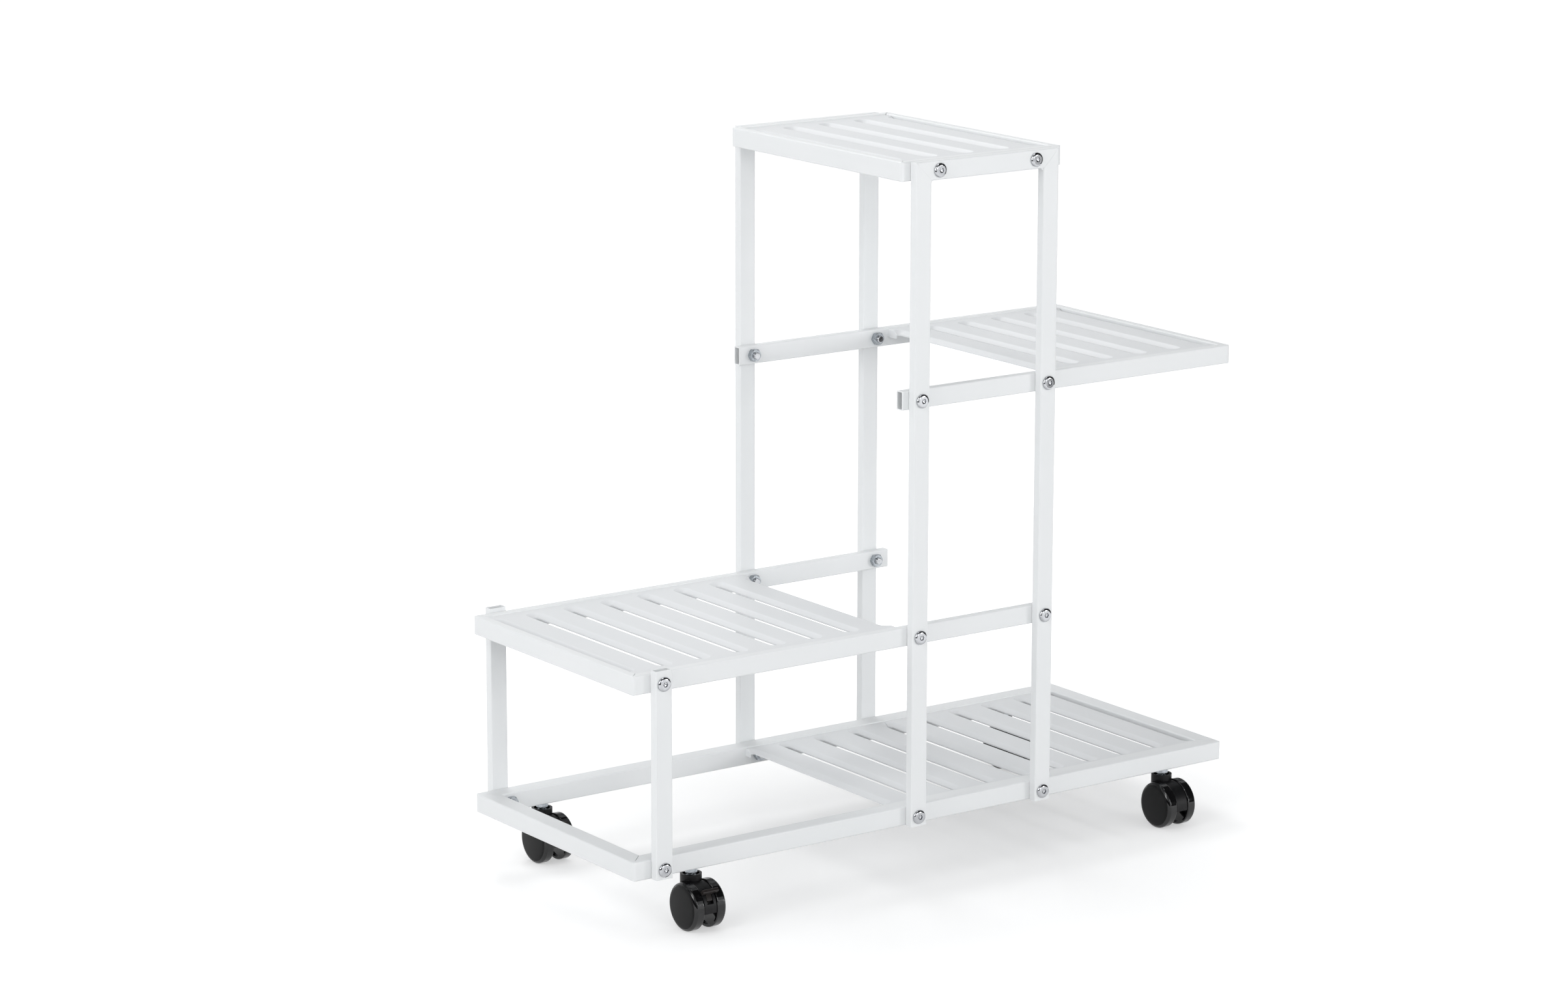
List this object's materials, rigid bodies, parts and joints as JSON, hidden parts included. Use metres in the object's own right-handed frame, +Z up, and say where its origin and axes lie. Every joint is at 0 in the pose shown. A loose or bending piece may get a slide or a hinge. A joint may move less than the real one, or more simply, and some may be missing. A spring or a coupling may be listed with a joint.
{
  "type": "rolling plant stand",
  "caption": "Rolling plant stand of white steel tube with stepped slatted shelves bolted to a tower of two frames, on a long base with braked swivel casters.",
  "frame": {"origin": "on the floor under the middle of the stand's outline, casters trailing forward", "axes": "+X along the length towards the middle shelf, +Y to the back, +Z up"},
  "size_m": [0.615, 0.271, 0.605],
  "materials": {
    "white_frame_coat": "satin white powder coat",
    "white_panel_coat": "satin white powder coat on pressed sheet",
    "bolt_chrome": "bright plated",
    "zinc_plate": "zinc plated",
    "black_hood_plastic": "moulded satin black",
    "black_wheel_plastic": "moulded black, glossy tread"
  },
  "bodies": {
    "stand": {"base_frame": "white_frame_coat", "left_shelf_frame": "white_frame_coat", "right_shelf_frame": "white_frame_coat", "top_shelf_frame": "white_frame_coat", "front_tower_frame": "white_frame_coat", "back_tower_frame": "white_frame_coat", "front_short_post": "white_frame_coat", "back_short_post": "white_frame_coat", "top_panel": "white_panel_coat", "left_shelf_panel": "white_panel_coat", "right_shelf_panel": "white_panel_coat", "base_panel_left": "white_panel_coat", "base_panel_right": "white_panel_coat", "shelf_bolts": "bolt_chrome", "base_bolts": "bolt_chrome", "hex_nuts": "zinc_plate", "caster_stems": "zinc_plate", "stem_nuts": "zinc_plate"},
    "front_left_caster": {"front_left_caster_hood": "black_hood_plastic", "front_left_axle": "zinc_plate"},
    "front_left_wheel_a": {"front_left_wheel_a": "black_wheel_plastic"},
    "front_left_wheel_b": {"front_left_wheel_b": "black_wheel_plastic"},
    "front_left_brake": {"front_left_brake_lever": "black_hood_plastic"},
    "back_left_caster": {"back_left_caster_hood": "black_hood_plastic", "back_left_axle": "zinc_plate"},
    "back_left_wheel_a": {"back_left_wheel_a": "black_wheel_plastic"},
    "back_left_wheel_b": {"back_left_wheel_b": "black_wheel_plastic"},
    "back_left_brake": {"back_left_brake_lever": "black_hood_plastic"},
    "front_right_caster": {"front_right_caster_hood": "black_hood_plastic", "front_right_axle": "zinc_plate"},
    "front_right_wheel_a": {"front_right_wheel_a": "black_wheel_plastic"},
    "front_right_wheel_b": {"front_right_wheel_b": "black_wheel_plastic"},
    "back_right_caster": {"back_right_caster_hood": "black_hood_plastic", "back_right_axle": "zinc_plate"},
    "back_right_wheel_a": {"back_right_wheel_a": "black_wheel_plastic"},
    "back_right_wheel_b": {"back_right_wheel_b": "black_wheel_plastic"}
  },
  "joints": [
    {"name": "front_left_swivel", "type": "hinge", "parent": "stand", "child": "front_left_caster", "pos_m": [-0.247, -0.106, 0.044], "axis": [0, 0, 1], "continuous": true},
    {"name": "front_left_wheel_a_spin", "type": "hinge", "parent": "front_left_caster", "child": "front_left_wheel_a", "pos_m": [-0.247, -0.1155, 0.02], "axis": [1, 0, 0], "continuous": true},
    {"name": "front_left_wheel_b_spin", "type": "hinge", "parent": "front_left_caster", "child": "front_left_wheel_b", "pos_m": [-0.247, -0.1155, 0.02], "axis": [1, 0, 0], "continuous": true},
    {"name": "front_left_brake_press", "type": "hinge", "parent": "front_left_caster", "child": "front_left_brake", "pos_m": [-0.247, -0.12479, 0.02836], "axis": [1, 0, 0], "range_deg": [0, 22]},
    {"name": "back_left_swivel", "type": "hinge", "parent": "stand", "child": "back_left_caster", "pos_m": [-0.247, 0.117, 0.044], "axis": [0, 0, 1], "continuous": true},
    {"name": "back_left_wheel_a_spin", "type": "hinge", "parent": "back_left_caster", "child": "back_left_wheel_a", "pos_m": [-0.247, 0.1075, 0.02], "axis": [1, 0, 0], "continuous": true},
    {"name": "back_left_wheel_b_spin", "type": "hinge", "parent": "back_left_caster", "child": "back_left_wheel_b", "pos_m": [-0.247, 0.1075, 0.02], "axis": [1, 0, 0], "continuous": true},
    {"name": "back_left_brake_press", "type": "hinge", "parent": "back_left_caster", "child": "back_left_brake", "pos_m": [-0.247, 0.09821, 0.02836], "axis": [1, 0, 0], "range_deg": [0, 22]},
    {"name": "front_right_swivel", "type": "hinge", "parent": "stand", "child": "front_right_caster", "pos_m": [0.247, -0.106, 0.044], "axis": [0, 0, 1], "continuous": true},
    {"name": "front_right_wheel_a_spin", "type": "hinge", "parent": "front_right_caster", "child": "front_right_wheel_a", "pos_m": [0.247, -0.1155, 0.02], "axis": [1, 0, 0], "continuous": true},
    {"name": "front_right_wheel_b_spin", "type": "hinge", "parent": "front_right_caster", "child": "front_right_wheel_b", "pos_m": [0.247, -0.1155, 0.02], "axis": [1, 0, 0], "continuous": true},
    {"name": "back_right_swivel", "type": "hinge", "parent": "stand", "child": "back_right_caster", "pos_m": [0.247, 0.117, 0.044], "axis": [0, 0, 1], "continuous": true},
    {"name": "back_right_wheel_a_spin", "type": "hinge", "parent": "back_right_caster", "child": "back_right_wheel_a", "pos_m": [0.247, 0.1075, 0.02], "axis": [1, 0, 0], "continuous": true},
    {"name": "back_right_wheel_b_spin", "type": "hinge", "parent": "back_right_caster", "child": "back_right_wheel_b", "pos_m": [0.247, 0.1075, 0.02], "axis": [1, 0, 0], "continuous": true}
  ]
}
